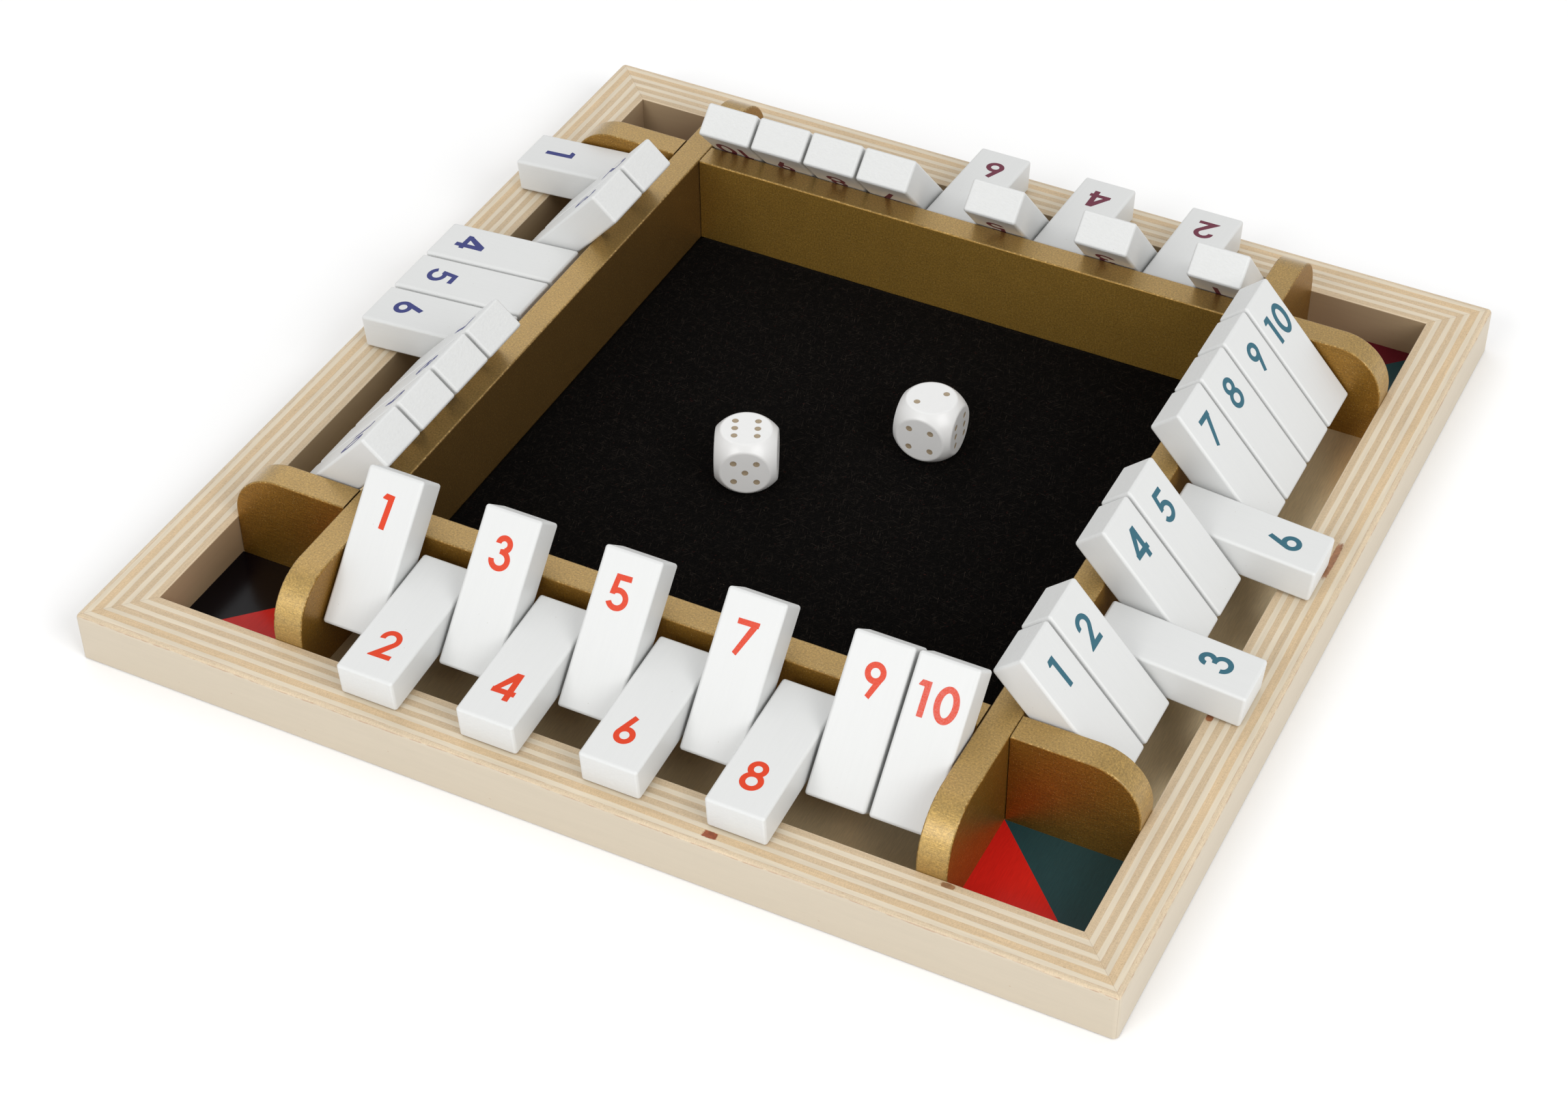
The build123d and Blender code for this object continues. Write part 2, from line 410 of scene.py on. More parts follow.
# Where each ply begins, in millimetres from the inner face of the rail, and its colour.
PLIES = [
    (0.0, INNER_VENEER), (0.3, TAN), (2.1, PALE), (3.55, TAN), (5.3, PALE), (6.75, TAN),
    (8.5, PALE), (9.9, WARM_TAN), (12.0, PALE), (13.4, OUTER_TAN), (14.72, OUTER_VENEER),
]
# Glue lines: millimetres from the inner face, and how dark each is.
GLUE_LINES = [(3.6, 0.35), (6.8, 0.7), (8.55, 0.25), (9.9, 0.2), (13.45, 0.75), (14.72, 1.0)]
GLUE_HALF_WIDTH = 0.14
GLUE_CORE = 0.02
PLY_BLUR = 0.07
PLY_WAVE = 0.5
# Rails read the patterns this far apart, so that no two of them look alike.
RAIL_SPACING = 311.0
# Knots: centre in the rail's top and half size, in millimetres, and colour.
KNOTS = [
    ((35.8, -136.1, 14.0), (1.9, 1.1, 3.0), rgb(134, 64, 30)),
    ((91.8, -126.2, 14.0), (1.7, 0.8, 3.0), rgb(138, 98, 64)),
    ((134.2, 18.5, 14.0), (0.9, 7.5, 3.0), rgb(150, 104, 70)),
    ((126.2, -49.0, 14.0), (0.9, 1.1, 3.0), rgb(146, 92, 58)),
]


def ply_ramp(tree, depth):
    """The colour of the plies by their distance from the inner face."""
    ramp = add(tree, "ShaderNodeValToRGB", {"Fac": calc(tree, "DIVIDE", depth, RAIL_WIDTH)})
    stops = ramp.color_ramp.elements
    stops[0].color = PLIES[0][1]
    for (_, before), (start, color) in zip(PLIES, PLIES[1:]):
        stops.new((start - PLY_BLUR) / RAIL_WIDTH).color = before
        stops.new((start + PLY_BLUR) / RAIL_WIDTH).color = color
    stops[-1].color = PLIES[-1][1]
    return ramp.outputs["Color"]


def pale_mask(tree, depth):
    """1 in the plies that run along the rail, 0 in those that show end grain."""
    ramp = add(tree, "ShaderNodeValToRGB", {"Fac": calc(tree, "DIVIDE", depth, RAIL_WIDTH)})
    ramp.color_ramp.interpolation = "CONSTANT"
    stops = ramp.color_ramp.elements
    stops[0].color = (1, 1, 1, 1)
    for start, color in PLIES[1:]:
        level = 1 if color in (PALE, OUTER_VENEER) else 0
        stops.new(start / RAIL_WIDTH).color = (level, level, level, 1)
    return ramp.outputs["Color"]


def glue_mask(tree, depth):
    """How dark the glue is at a distance from the inner face."""
    total = 0.0
    for at, darkness in GLUE_LINES:
        off = absolute(tree, calc(tree, "SUBTRACT", depth, at))
        line = step_between(tree, off, GLUE_HALF_WIDTH, GLUE_CORE)
        total = calc(tree, "MULTIPLY_ADD", line, darkness, total)
    return total


def make_plywood():
    material, tree, place, surface = new_material("birch_plywood")
    axes, across, ahead = split_place(tree, place)
    faces_front = calc(tree, "GREATER_THAN", ahead, across)
    along = mix(tree, faces_front, axes[1], axes[0])
    far = mix(tree, faces_front, axes[0], axes[1])
    rail_number = calc(tree, "MULTIPLY_ADD", faces_front, 2.0, calc(tree, "SIGN", far))
    depth = calc(tree, "SUBTRACT", calc(tree, "MAXIMUM", across, ahead), OPENING_HALF)
    rail_place = add(tree, "ShaderNodeCombineXYZ", {0: along, 1: depth, 2: axes[2]})
    spacing = add(tree, "ShaderNodeCombineXYZ", {0: times(tree, rail_number, RAIL_SPACING)})
    rail_place = vector_calc(tree, "ADD", {0: rail_place.outputs[0], 1: spacing.outputs[0]})

    # The knife that peels a log leaves plies of slightly uneven thickness.
    wave = noise(tree, stretched(tree, rail_place, (0.05, 0.5, 0.2)), Detail=2.0)
    wobble = calc(tree, "SUBTRACT", wave, 0.5)
    wavy_depth = calc(tree, "MULTIPLY_ADD", wobble, PLY_WAVE, depth)
    color = ply_ramp(tree, wavy_depth)
    pale = pale_mask(tree, wavy_depth)

    # Long grain in the pale plies and the veneers, short dashes of end grain in the tan ones.
    long_grain = grain_noise(tree, rail_place, (0.12, 3.0, 3.0), strength=0.16)
    end_grain = grain_noise(tree, rail_place, (4.0, 1.3, 1.3), strength=0.6)
    streaks = grain_noise(tree, rail_place, (0.09, 5.0, 1.0), detail=3.0, strength=0.5)
    grain = mix(tree, pale, times(tree, end_grain, streaks), long_grain)
    patches = grain_noise(tree, rail_place, (0.035, 0.6, 0.1), detail=2.0, strength=0.34)
    color = shade(tree, color, times(tree, grain, patches))

    # Fine brown pores lie in the tan plies.
    pores = fleck_mask(tree, rail_place, (0.5, 2.4, 1.0), radius=0.2, amount=0.4)
    pores = times(tree, pores, calc(tree, "SUBTRACT", 1.0, pale))
    color = lay_over(tree, color, pores, 0.35, PORE_BROWN)

    # Glue lines break up along the rail.
    broken = noise(tree, stretched(tree, rail_place, (0.35, 1.0, 0.6)), Detail=3.0)
    glue = times(tree, glue_mask(tree, wavy_depth), step_between(tree, broken, 0.36, 0.62))
    facing = split(tree, own_normal(tree))
    level = step_between(tree, absolute(tree, facing[2]), 0.3, 0.5)
    color = lay_over(tree, color, times(tree, glue, level), 0.6, GLUE_BROWN)

    # The upright faces are veneer all over, also where the corners are rounded. Those that look
    # on the channels are painted darker, as shade with a brown painted reflection of the gold.
    side_grain = grain_noise(tree, rail_place, (0.06, 0.5, 0.9), detail=5.0, strength=0.1)
    inner = step_between(tree, depth, 4.0, 1.0)
    veneer = shade(tree, blend_colors(tree, inner, OUTER_VENEER, INNER_FACE_SHADE), side_grain)
    specks = fleck_mask(tree, rail_place, (0.25, 0.25, 0.4), radius=0.06, amount=0.35)
    veneer = lay_over(tree, veneer, specks, 0.5, SPECK_BROWN)
    color = blend_colors(tree, level, veneer, color)

    # The mitre joints show as hairlines.
    gap = absolute(tree, calc(tree, "SUBTRACT", across, ahead))
    color = lay_over(tree, color, step_between(tree, gap, 0.14, 0.03), 0.3, MITRE_BROWN)

    rings = grain_noise(tree, place, (0.9, 0.9, 0.9), strength=1.3)
    for centre, size, knot_color in KNOTS:
        knot = use(tree, KNOT, Place=place, Centre=centre, Size=size)
        color = lay_over(tree, color, knot, level, shade(tree, knot_color, rings))
    wire(surface, Base_Color=color, Roughness=times(tree, grain, 0.5),
         Normal=bump(tree, grain, 0.12, 0.35), Coat_Weight=0.12, Coat_Roughness=0.35)
    return material


plywood = make_plywood()
print(f"plywood: {len(PLIES)} plies, {len(plywood.node_tree.nodes)} nodes")

# %% [markdown]
# ## Gold paint on the walls
#
# The tray walls and partitions are painted with a metallic gold. A metal shows mainly what it
# reflects, so the tops look pale under the light, and the upright sides are given darker colours
# as painted shade and painted reflection of the tray, with a painted tone of light and shade of
# their own inside the tray for the long and for the cross walls. Fine flakes make it sparkle a
# little, and on the rounded ends the sanding marks run across under a painted highlight. At the
# edges the paint is thicker, and a painted highlight lies there in broken flecks.

# %% Gold paint
GOLD = rgb(171, 138, 74)
# The upright sides are painted darker than the tops as shade, and inside the tray each kind of
# wall has its own painted tone of light and shade.
GOLD_SIDE_SHADE = rgb(150, 109, 38)
LONG_TRAY_SHADE = rgb(129, 98, 51)
CROSS_TRAY_LIGHT = rgb(184, 143, 64)
# Colours the flakes, and the painted highlight on the edges.
GOLD_FLAKE_AND_HIGHLIGHT = rgb(222, 192, 128)
END_HIGHLIGHT_GOLD = rgb(218, 192, 120)
JOINT_DARK = rgb(38, 26, 12)
# The faces that look into the tray lie within this distance of the centre, along x and y.
TRAY_REACH = 83.3
LONG_WALL_MIDDLE = 87.0
LONG_WALL_HALF = 4.0


def make_gold(name, thin_axis, tray_light_and_shade, end_highlight):
    """Gold paint for walls whose thickness runs along one axis, 0 for x and 1 for y."""
    material, tree, place, surface = new_material(name)
    axes, across, ahead = split_place(tree, place)
    facing = split(tree, own_normal(tree))
    upright = step_between(tree, absolute(tree, facing[2]), 0.5, 0.1)
    from_long_wall = calc(tree, "SUBTRACT", across, LONG_WALL_MIDDLE)

    fine = grain_noise(tree, place, scale=2.0, strength=1.7)
    cloud = grain_noise(tree, place, scale=0.12, detail=3.0, strength=0.22)
    side = absolute(tree, facing[thin_axis])
    on_side = step_between(tree, side, 0.5, 0.9)
    in_tray = calc(tree, "LESS_THAN", calc(tree, "MAXIMUM", across, ahead), TRAY_REACH)
    # Painted shade on the upright sides, and inside the tray the wall's own painted light and
    # shade.
    painted_side_tone = blend_colors(tree, in_tray, GOLD_SIDE_SHADE, tray_light_and_shade)
    base = blend_colors(tree, on_side, GOLD, painted_side_tone)
    color = shade(tree, base, times(tree, fine, cloud))
    flakes = fleck_mask(tree, place, scale=2.2, radius=0.22, amount=0.35)
    color = lay_over(tree, color, flakes, 0.5, GOLD_FLAKE_AND_HIGHLIGHT)

    # Sanding marks run across the wall on its rounded ends, and a painted highlight lightens them.
    marks_stretch = (0.3, 5.0, 5.0) if thin_axis == 0 else (5.0, 0.3, 5.0)
    marks = grain_noise(tree, place, marks_stretch)
    end = step_between(tree, absolute(tree, facing[1 - thin_axis]), 0.12, 0.6)
    end = times(tree, end, step_between(tree, axes[2], 2.5, 4.0))
    marked = mix(tree, end, 1.0, marks)
    color = lay_over(tree, color, end, end_highlight, END_HIGHLIGHT_GOLD)
    color = shade(tree, color, marked)

    # The grain of the wood runs level along the partitions, and the paint doesn't fill it.
    level_grain = grain_noise(tree, place, (0.25, 0.25, 3.4), strength=1.1)
    partition = step_between(tree, from_long_wall, LONG_WALL_HALF - 0.1, LONG_WALL_HALF)
    grainy = times(tree, upright, calc(tree, "MULTIPLY_ADD", partition, 0.7, 0.2))
    level_grain = mix(tree, grainy, 1.0, level_grain)
    color = shade(tree, color, level_grain)

    # Where a side turns over into the crown, the paint is thick, and a painted highlight lies
    # there in broken bright chips, with darker flecks between.
    turning = times(tree, step_between(tree, side, 0.12, 0.4),
                    step_between(tree, side, 0.99, 0.85))
    chips = noise(tree, place, 1.3, Detail=5.0, Roughness=0.7)
    bright = times(tree, turning, step_between(tree, chips, 0.54, 0.62))
    color = lay_over(tree, color, bright, 0.55, GOLD_FLAKE_AND_HIGHLIGHT)
    dull = times(tree, turning, step_between(tree, chips, 0.56, 0.44))
    color = lay_over(tree, color, dull, 0.45, shade(tree, GOLD, 0.45))

    # Where a cross wall or a partition meets a long wall, the paint has cracked open.
    if thin_axis == 1:
        off = calc(tree, "SUBTRACT", absolute(tree, from_long_wall), LONG_WALL_HALF)
        crack = step_between(tree, absolute(tree, off), 0.34, 0.12)
        color = lay_over(tree, color, crack, 0.8, JOINT_DARK)

    height = calc(tree, "ADD", calc(tree, "MULTIPLY_ADD", marked, 2.0, fine), level_grain)
    roughness = calc(tree, "MULTIPLY_ADD", fine, 0.08, 0.34)
    roughness = calc(tree, "MULTIPLY_ADD", turning, 0.25, roughness)
    wire(surface, Base_Color=color, Metallic=0.75, Roughness=roughness,
         Normal=bump(tree, height, 0.1, 0.45), Coat_Roughness=0.32,
         Coat_Weight=calc(tree, "MULTIPLY_ADD", on_side, -0.5, 0.75))
    return material


gold_long = make_gold("gold_paint_long_walls", 0, LONG_TRAY_SHADE, end_highlight=0.12)
gold_cross = make_gold("gold_paint_cross_walls", 1, CROSS_TRAY_LIGHT, end_highlight=0.05)
print("gold paint for both directions")

# %% [markdown]
# ## Painted bottom board
#
# The board is painted in five colours. Under the tiles it is bronze, and each corner is split on
# its diagonal into the colours of the two players who meet there. The same test as for the
# mitres tells which player's half a point is in.

# %% Painted board
PLAYER_COLORS = {
    "front": rgb(204, 32, 26), "right": rgb(34, 66, 70),
    "back": rgb(92, 18, 30), "left": rgb(6, 4, 10),
}
BRONZE = rgb(228, 206, 166)
DUST = rgb(190, 180, 160)
CORNER_START = 91.0


def make_board_paint():
    material, tree, place, surface = new_material("painted_board")
    axes, across, ahead = split_place(tree, place)
    faces_front = calc(tree, "GREATER_THAN", ahead, across)
    is_back = calc(tree, "GREATER_THAN", axes[1], 0.0)
    is_right = calc(tree, "GREATER_THAN", axes[0], 0.0)
    front_back = blend_colors(tree, is_back, PLAYER_COLORS["front"], PLAYER_COLORS["back"])
    left_right = blend_colors(tree, is_right, PLAYER_COLORS["left"], PLAYER_COLORS["right"])
    player = blend_colors(tree, faces_front, left_right, front_back)
    nearest = calc(tree, "MINIMUM", across, ahead)
    in_corner = calc(tree, "GREATER_THAN", nearest, CORNER_START)
    color = blend_colors(tree, in_corner, BRONZE, player)
    brushed = grain_noise(tree, place, (3.2, 0.22, 1.0), detail=5.0, strength=0.5)
    dust = fleck_mask(tree, place, (0.25, 1.6, 1.0), (0, 0, 0.5), scale=0.5, radius=0.07,
                      amount=0.1)
    color = lay_over(tree, shade(tree, color, brushed), dust, 0.4, DUST)
    wire(surface, Base_Color=color, Roughness=mix(tree, in_corner, 0.34, 0.2),
         Metallic=mix(tree, in_corner, 0.5, 0.0), Normal=bump(tree, brushed, 0.06, 0.35),
         Specular_IOR_Level=0.16)
    return material


board_paint = make_board_paint()
print("board painted for", ", ".join(PLAYER_COLORS))

# %% [markdown]
# ## White tiles
#
# The tiles are small bars of wood under a satin white paint. The paint hides the colour of the
# wood but not its grain, which shows as faint streaks along the tile. The sawn ends drink the
# paint and stay a little rough, and they are painted a little lighter as painted light. The
# streaks must follow the tile, so there is one material for each row and for each way that its
# tiles lie.

# %% White paint
SIDES = ["front", "right", "back", "left"]
TILE_COUNT = 10
TILES_DOWN = {"front": [2, 4, 6, 8], "right": [3, 6], "back": [2, 4, 6], "left": [1, 4, 5, 6]}
TILE_THICKNESS = 9.8
# How far a tile has turned up about its rod from pointing at the tray, in degrees.
LEAN = {"up": 48.3069, "down": 184.7753}
TILE_WHITE = rgb(211, 212, 211)
TILE_DIRT = rgb(150, 140, 125)
END_PAINTED_LIGHT = 1.04


def tile_state(side, number):
    return "down" if number in TILES_DOWN[side] else "up"


def tile_name(side, number):
    return f"{side}_tile_{number:02d}"


def quarter_turn(side):
    return math.radians(90 * SIDES.index(side))


def laid_flat(tree, vector, side, state):
    """Turns a vector to the tile's own axes: x along the rod, y to its free end."""
    to_front = turned(tree, vector, (0, 0, -quarter_turn(side)))
    return turned(tree, to_front, (-math.radians(LEAN[state]), 0, 0))


def make_tile_paint(side, state):
    material, tree, place, surface = new_material(f"white_paint_{side}_{state}")
    lying = laid_flat(tree, place, side, state)
    streaks = grain_noise(tree, lying, (1.6, 0.09, 1.6), detail=5.0, strength=0.045)
    orange_peel = grain_noise(tree, lying, scale=2.2, detail=3.0, strength=0.5)
    dirt = fleck_mask(tree, lying, scale=0.35, radius=0.05, amount=0.25)
    facing = split(tree, laid_flat(tree, own_normal(tree), side, state))
    end = step_between(tree, absolute(tree, facing[1]), 0.6, 0.95)
    rough_end = grain_noise(tree, lying, (0.9, 1.0, 1.6), detail=5.0, strength=1.6)
    # The sawn ends are mottled, and painted a little lighter as painted light.
    end_mottle_and_light = calc(tree, "MULTIPLY_ADD", calc(tree, "SUBTRACT", rough_end, 1.0),
                  times(tree, end, 0.05),
                  calc(tree, "MULTIPLY_ADD", end, END_PAINTED_LIGHT - 1.0, 1.0))
    color = shade(tree, TILE_WHITE, times(tree, streaks, end_mottle_and_light))
    height = times(tree, mix(tree, end, orange_peel, rough_end), mix(tree, end, 0.14, 0.6))
    wire(surface, Base_Color=lay_over(tree, color, dirt, 0.3, TILE_DIRT),
         Roughness=mix(tree, end, 0.42, 0.6), Normal=bump(tree, height, 0.2, 0.6))
    return material


tile_paint = {(side, state): make_tile_paint(side, state) for side in SIDES for state in LEAN}
print(f"{len(tile_paint)} white paints")

# %% [markdown]
# ## Rods, dice and the finishes of small things
#
# The rods are bright steel, seen only in the gaps between tiles. The dice are dipped in a
# glossier white than the tiles, and their pips are holes drilled through the paint, so that bare
# wood shows in them. The wood is coloured darker at the rim of each pip.

# %% Steel, dice and pips
STEEL = rgb(186, 188, 190)
DIE_WHITE = rgb(222, 222, 221)
BARE_WOOD = rgb(154, 138, 114)
DARK_RIM_WOOD = rgb(96, 84, 68)


def make_steel():
    material, tree, place, surface = new_material("bright_steel")
    drawn = grain_noise(tree, place, scale=2.0, detail=3.0, strength=0.3)
    wire(surface, Base_Color=shade(tree, STEEL, drawn), Metallic=1.0,
         Roughness=times(tree, drawn, 0.28))
    return material


def make_die_white():
    material, tree, place, surface = new_material("die_white")
    cloud = grain_noise(tree, place, scale=0.5, strength=0.04)
    peel = grain_noise(tree, place, scale=1.6, strength=0.5)
    streaks = grain_noise(tree, place, (0.25, 3.0, 3.0), detail=3.0, strength=0.4)
    wire(surface, Base_Color=shade(tree, DIE_WHITE, cloud), Roughness=0.42,
         Normal=bump(tree, calc(tree, "ADD", peel, streaks), 0.05, 0.3),
         Coat_Weight=0.35, Coat_Roughness=0.22)
    return material


def make_bare_wood(name, wood):
    material, tree, place, surface = new_material(name)
    fibres = grain_noise(tree, place, scale=3.0, strength=0.8)
    wire(surface, Base_Color=shade(tree, wood, fibres), Roughness=0.6,
         Normal=bump(tree, fibres, 0.08, 0.5))
    return material


steel = make_steel()
die_white = make_die_white()
bare_wood = make_bare_wood("bare_pip_wood", BARE_WOOD)
dark_rim_wood = make_bare_wood("dark_pip_rim", DARK_RIM_WOOD)
print("steel, die white and two tones of bare wood")

# %% [markdown]
# ## Dress the solids
#
# The solids of the game need no other shape than the one they have: their edges are rounded in
# the CAD already. So they only change their material.

# %% Dress the solids


def dress(node_name, material):
    mesh = cad_nodes[node_name].data
    mesh.materials.clear()
    mesh.materials.append(material)


for side in SIDES:
    dress(f"{side}_rail", plywood)
    dress(f"{side}_rod", steel)
    for number in range(1, TILE_COUNT + 1):
        dress(tile_name(side, number), tile_paint[side, tile_state(side, number)])
for end in ("front", "back"):
    dress(f"{end}_tray_wall", gold_cross)
    for side in ("left", "right"):
        dress(f"{end}_{side}_partition", gold_cross)
for side in ("left", "right"):
    dress(f"{side}_tray_wall", gold_long)
    dress(f"die_{side}", die_white)
dress("bottom_board", board_paint)
print("dressed", len(cad_nodes), "solids")

# %% [markdown]
# ## Printed numbers
#
# Each tile carries its number on both broad faces, as plain rounded sans-serif figures in the
# player's colour. A font would be quick, but its figures would be somebody's design. Here each
# figure is built from strokes of one width: bars are planes whose corners are listed one by one,
# and bowls are a short edge spun about a centre. The strokes are joined by a boolean union, so
# that no two faces lie on each other. The finished print is a film of ink, thinner than a hair.

# %% Strokes
STROKE = 1.46
CIRCLE_STEPS = 48
RAW_HEIGHT = 1.0
INK_ABOVE = 0.03
INK_BELOW = 0.03
WELD_DISTANCE = 1e-4


def select_only(*things):
    """Selects these and nothing else, and makes the first the active one."""
    bpy.ops.object.select_all(action="DESELECT")
    for thing in things:
        thing.select_set(True)
    bpy.context.view_layer.objects.active = things[0]


def add_shape(name, points, edges, faces):
    mesh = bpy.data.meshes.new(name)
    mesh.from_pydata(points, edges, faces)
    thing = bpy.data.objects.new(name, mesh)
    bpy.context.scene.collection.objects.link(thing)
    return thing


def join_copies(name, pattern, places):
    """Copies a shape to every place and joins the copies into one piece."""
    copies = []
    for place in places:
        copy = pattern.copy()
        copy.data = pattern.data.copy()
        bpy.context.scene.collection.objects.link(copy)
        copy.data.transform(place)
        copies.append(copy)
    select_only(*copies)
    bpy.ops.object.join()
    copies[0].name = name
    return copies[0]


def start_edit(thing):
    select_only(thing)
    bpy.ops.object.mode_set(mode="EDIT")
    bpy.ops.mesh.select_all(action="SELECT")


def extrude_up(height):
    bpy.ops.mesh.extrude_region_move(TRANSFORM_OT_translate={"value": (0, 0, height)})


def end_edit():
    """Makes all faces look outwards and leaves edit mode."""
    bpy.ops.mesh.select_all(action="SELECT")
    bpy.ops.mesh.normals_make_consistent(inside=False)
    bpy.ops.object.mode_set(mode="OBJECT")


def raise_to_slab(thing):
    """Gives a flat figure a thickness of RAW_HEIGHT."""
    start_edit(thing)
    bpy.ops.mesh.remove_doubles(threshold=WELD_DISTANCE)
    extrude_up(RAW_HEIGHT)
    end_edit()
    return thing


def bar(corners):
    """A straight-sided shape from its corners, going round once, in millimetres."""
    points = [(x, y, 0) for x, y in corners]
    return raise_to_slab(add_shape("bar", points, [], [range(len(points))]))


def bowl(centre, radius, start, end, width=STROKE, tall=1.0):
    """A curved stroke: a short edge spun about a centre. Angles are degrees from the x axis."""
    x, y = centre
    swing = math.radians(end - start)
    steps = round(CIRCLE_STEPS * abs(end - start) / 360)
    turn = Matrix.Rotation(math.radians(start), 4, "Z")
    ends = [turn @ Vector((radius + reach, 0, 0)) for reach in (-width / 2, width / 2)]
    thing = add_shape("bowl", ends, [(0, 1)], [])
    start_edit(thing)
    bpy.ops.mesh.spin(steps=steps, angle=-swing, center=(0, 0, 0), axis=(0, 0, 1))
    bpy.ops.object.mode_set(mode="OBJECT")
    thing.data.transform(Matrix.Translation((x, y, 0)) @ Matrix.Diagonal((1, tall, 1, 1)))
    return raise_to_slab(thing)


def oval(centre, outer, inner):
    """An upright oval ring from its half widths and half heights."""
    x, y = centre
    angles = [2 * math.pi * step / CIRCLE_STEPS for step in range(CIRCLE_STEPS)]
    rings = [(x + wide * math.cos(angle), y + tall * math.sin(angle), 0)
             for wide, tall in (outer, inner) for angle in angles]
    around = [(step, (step + 1) % CIRCLE_STEPS) for step in range(CIRCLE_STEPS)]
    quads = [(here, ahead, ahead + CIRCLE_STEPS, here + CIRCLE_STEPS) for here, ahead in around]
    return raise_to_slab(add_shape("oval", rings, [], quads))


def join_strokes(name, strokes):
    """One figure from its strokes, flat faces merged."""
    figure = strokes[0]
    figure.name = name
    for stroke in strokes[1:]:
        select_only(figure)
        union = figure.modifiers.new("union", "BOOLEAN")
        union.operation = "UNION"
        union.solver = "EXACT"
        union.object = stroke
        bpy.ops.object.modifier_apply(modifier=union.name)
        bpy.data.objects.remove(stroke)
    return figure


print("strokes are", STROKE, "mm wide")

# %% [markdown]
# The figures stand on y = 0 and are 9 mm tall. Round ones reach a little over the line at top
# and bottom, as figures do, because otherwise they would look smaller than the flat ones.

# %% Figures
FIGURE_HEIGHT = 9.0
BAR_WIDTH = 1.45
STEM_WIDTH = 1.56
OVERSHOOT = 0.05


def figure_one(x=0.0, top=8.88):
    return [bar([
        (x, 0.03), (x + STEM_WIDTH, 0.03), (x + STEM_WIDTH, top), (x - 0.85, top),
        (x - 1.55, top - 1.25), (x - 1.4, top - 1.5), (x, top - 1.52)])]


def figure_two():
    radius = 2.12
    top = FIGURE_HEIGHT - radius - STROKE / 2 + OVERSHOOT
    turn_off = -38
    far = math.radians(turn_off)
    outer, inner = [(reach * math.cos(far), top + reach * math.sin(far))
                    for reach in (radius + STROKE / 2, radius - STROKE / 2)]
    return [
        bowl((0, top), radius, 187, turn_off),
        bar([outer, inner, (-3.0, 0.3), (-3.0, 0.0), (-0.1, 1.2)]),
        bar([(-3.0, 0.0), (3.02, 0.0), (3.02, BAR_WIDTH), (-0.3, BAR_WIDTH), (-3.0, 0.4)]),
    ]


def figure_three():
    return [
        bowl((0.0, 6.7), 1.58, 180, -70),
        bowl((-0.17, 2.82), 2.17, 60, -177, STROKE, 0.97),
        bar([(-0.62, 4.24), (-0.1, 4.22), (0.45, 4.08), (0.8, 3.86), (1.25, 4.3), (1.45, 4.9),
             (0.95, 5.5), (0.3, 5.66), (-0.62, 5.44)]),
    ]


def figure_four():
    return [
        bar([(0.0, 0.0), (1.6, 0.0), (1.6, FIGURE_HEIGHT), (0.0, FIGURE_HEIGHT)]),
        bar([(-3.85, 1.76), (2.35, 1.76), (2.35, 3.3), (-3.85, 3.3)]),
        bar([(-3.85, 2.9), (-1.95, 3.22), (0.12, 6.2), (0.4, FIGURE_HEIGHT),
             (-0.25, FIGURE_HEIGHT)]),
    ]


def figure_five():
    return [
        bowl((0.0, 2.88), 2.23, 128, -157, STROKE, 0.975),
        bar([(-1.4, 7.5), (2.6, 7.5), (2.6, 8.95), (-1.5, 8.95)]),
        bar([(-2.26, 3.9), (-0.85, 3.85), (-0.08, 8.95), (-1.5, 8.95)]),
    ]


def figure_six():
    low, radius = 2.67, 1.94
    return [
        bowl((0.0, low), radius, 0, 360),
        bar([(-2.49, low + 0.95), (-1.0, low + 1.2), (-0.17, 5.36), (0.98, 8.36), (-0.36, 8.98)]),
    ]


def figure_seven():
    return [
        bar([(-2.82, 7.5), (2.7, 7.5), (2.82, 8.92), (-2.82, 8.92)]),
        bar([(-2.27, 0.62), (-1.12, 0.0), (2.82, 8.3), (2.82, 8.92), (0.75, 7.55)]),
    ]


def figure_eight():
    return [
        bowl((0.0, 2.78), 2.2, 0, 360, 1.48, 0.945),
        bowl((0.0, 6.6), 1.8, 0, 360, STROKE, 0.97),
    ]


def figure_nine():
    high, radius = FIGURE_HEIGHT - 2.67, 1.94
    return [
        bowl((0.0, high), radius, 0, 360),
        bar([(2.49, high - 0.8), (1.0, high - 1.2), (0.14, 3.65), (-1.02, 0.55), (0.19, 0.0)]),
    ]


def figure_ten():
    return figure_one(-4.0, 8.7) + [oval((2.4, 4.54), (3.07, 4.58), (1.44, 2.98))]


FIGURES = {
    1: lambda: figure_one(-0.3), 2: figure_two, 3: figure_three, 4: figure_four,
    5: figure_five, 6: figure_six, 7: figure_seven, 8: figure_eight, 9: figure_nine,
    10: figure_ten,
}


def make_figure(number):
    """A figure centred on the origin, RAW_HEIGHT thick."""
    figure = join_strokes(f"figure_{number}", FIGURES[number]())
    across = [v.co.x for v in figure.data.vertices]
    middle = (min(across) + max(across)) / 2
    figure.data.transform(Matrix.Translation((-middle, -FIGURE_HEIGHT / 2, 0)))
    return figure


figures = {number: make_figure(number) for number in FIGURES}
print("figures:", {n: len(f.data.polygons) for n, f in figures.items()}, "faces")

# %% [markdown]
# ## Ink
#
# Each player has one ink. Where the press pushed lightly, the grain of the white paint shows
# through the print in small pale spots, on some tiles more than on others.

# %% Ink
INK_COLORS = {
    "front": rgb(208, 60, 26), "right": rgb(50, 98, 114),
    "back": rgb(104, 44, 62), "left": rgb(54, 60, 118),
}
# The share of white that shows through the prints that were pressed too lightly.
FAINT_PRINTS = {
    ("front", 3): 0.02, ("front", 5): 0.03, ("front", 7): 0.05, ("front", 9): 0.06,
    ("front", 10): 0.14,
}
LEAST_WEAR = 0.01
EVEN_WEAR = 0.25
ink_of = {}


